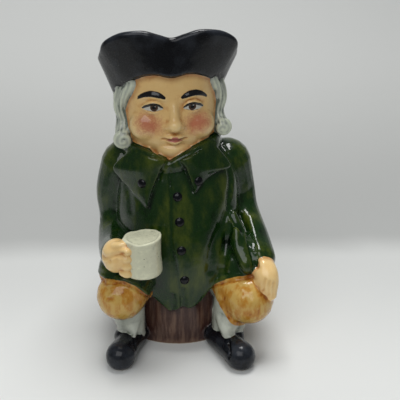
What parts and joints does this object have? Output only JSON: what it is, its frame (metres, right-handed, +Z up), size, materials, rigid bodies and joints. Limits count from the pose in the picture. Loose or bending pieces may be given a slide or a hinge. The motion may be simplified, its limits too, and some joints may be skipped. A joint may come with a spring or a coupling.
{
  "type": "toby jug",
  "caption": "Hollow glazed jug shaped as a seated man in a three-cornered hat, holding a mug, on a barrel seat, with a loop handle behind.",
  "frame": {"origin": "middle of the barrel seat's flat underside", "axes": "+Z up, -Y the way the figure faces, +X on the right of someone who looks at its face"},
  "size_m": [0.0939, 0.127, 0.1681],
  "materials": {
    "glazed_earthenware": "hand-painted in green, black, ochre, flesh, white and brown under a high-gloss glaze"
  },
  "bodies": {
    "root": {"toby_jug": "glazed_earthenware"}
  },
  "joints": []
}
